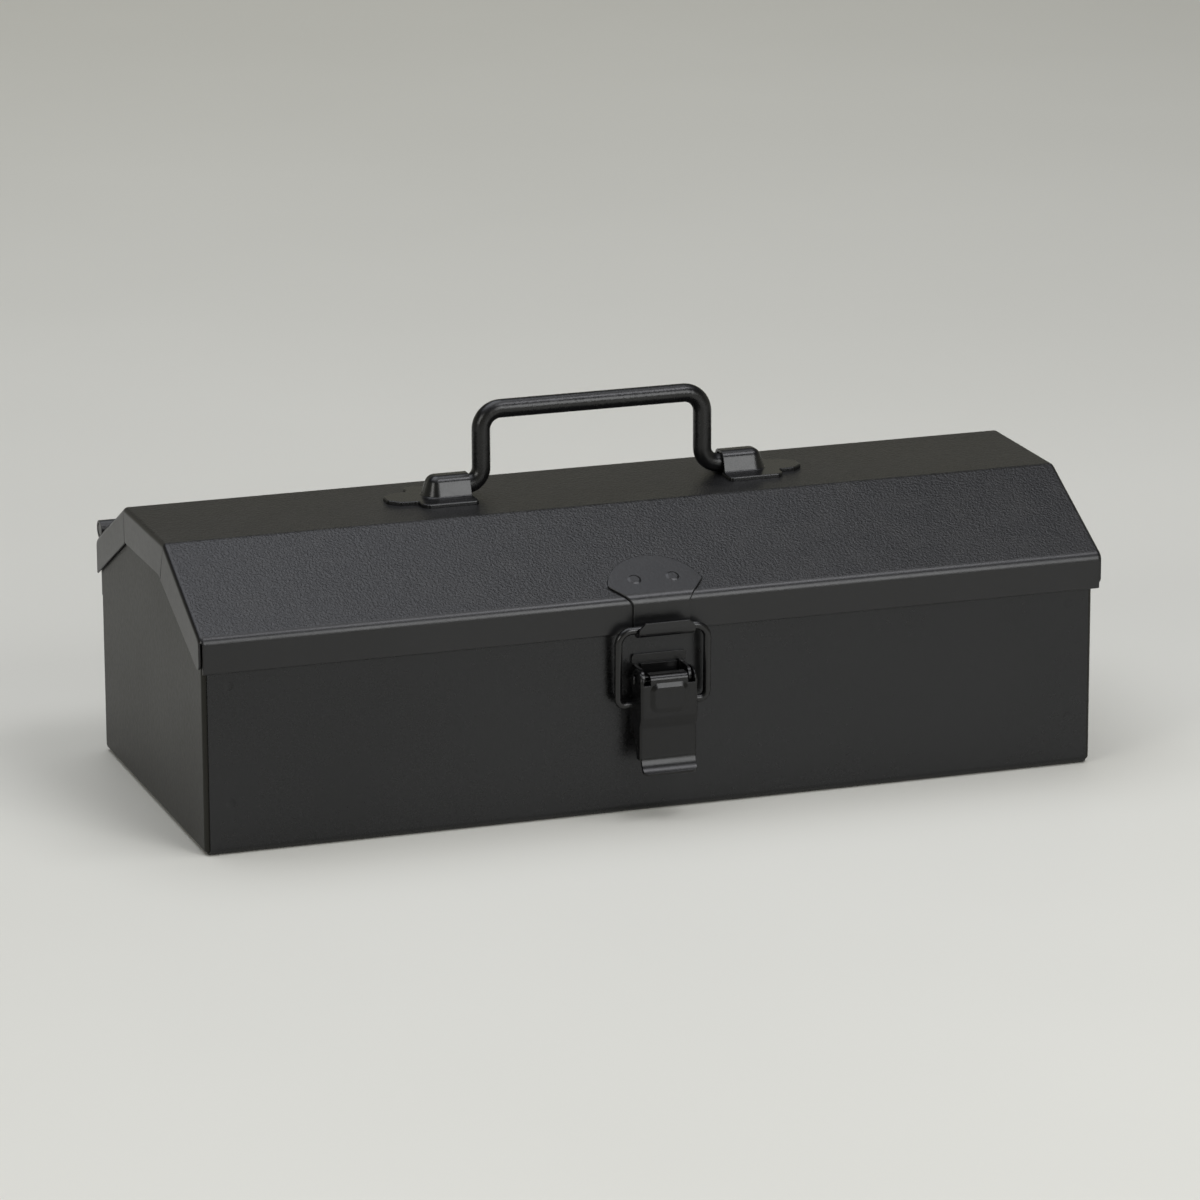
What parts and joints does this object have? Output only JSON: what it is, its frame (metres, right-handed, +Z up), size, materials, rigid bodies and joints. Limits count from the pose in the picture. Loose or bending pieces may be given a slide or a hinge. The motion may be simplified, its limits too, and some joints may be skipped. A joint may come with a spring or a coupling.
{
  "type": "steel tool box",
  "caption": "Small camber-top steel tool box with a full-length rear hinge, folding rod handle and front draw latch.",
  "frame": {"origin": "centre of the underside of the box, on the surface it stands on; the hinge and latch stand out beyond the box at the back and front", "axes": "+X along the box to its right end, front with the latch towards -Y, +Z up"},
  "size_m": [0.3606, 0.1704, 0.1454],
  "materials": {
    "box_sheet": "satin black powder coat, fine orange peel",
    "box_end": "satin black powder coat, fine orange peel",
    "lid_sheet": "satin black powder coat, fine orange peel",
    "hinge": "satin black powder coat over rolled sheet",
    "hinge_pin": "satin black powder coat on the visible ends",
    "bracket": "satin black powder coat, smoother on the drawn dome",
    "handle_rod": "satin black powder coat on round rod",
    "latch": "satin black powder coat on pressed sheet",
    "bail_wire": "satin black powder coat on wire"
  },
  "bodies": {
    "box": {"body_shell": "box_sheet", "end_plate_left": "box_end", "end_plate_right": "box_end", "hinge_leaf_body": "hinge", "hinge_pin": "hinge_pin", "latch_base": "latch", "latch_pivot_pin": "latch"},
    "lid": {"lid_shell": "lid_sheet", "hinge_leaf_lid": "hinge", "keeper": "latch", "handle_bracket_left": "bracket", "handle_bracket_right": "bracket"},
    "handle": {"handle": "handle_rod"},
    "lever": {"latch_lever": "latch"},
    "bail": {"latch_bail": "bail_wire"}
  },
  "joints": [
    {"name": "lid_hinge", "type": "hinge", "parent": "box", "child": "lid", "pos_m": [0, 0.0776, 0.08803], "axis": [-1, 0, 0], "range_deg": [0, 105]},
    {"name": "handle_fold", "type": "hinge", "parent": "lid", "child": "handle", "pos_m": [0.0007, 0.004, 0.11295], "axis": [1, 0, 0], "range_deg": [-90, 90]},
    {"name": "latch_lift", "type": "hinge", "parent": "box", "child": "lever", "pos_m": [0, -0.08, 0.054], "axis": [-1, 0, 0], "range_deg": [0, 88]},
    {"name": "bail_swing", "type": "hinge", "parent": "lever", "child": "bail", "pos_m": [0, -0.0788, 0.044], "axis": [-1, 0, 0], "range_deg": [-62.92, 0]}
  ],
  "couplings": [
    {"joint": "bail_swing", "follows": "latch_lift", "ratio": -0.715}
  ]
}
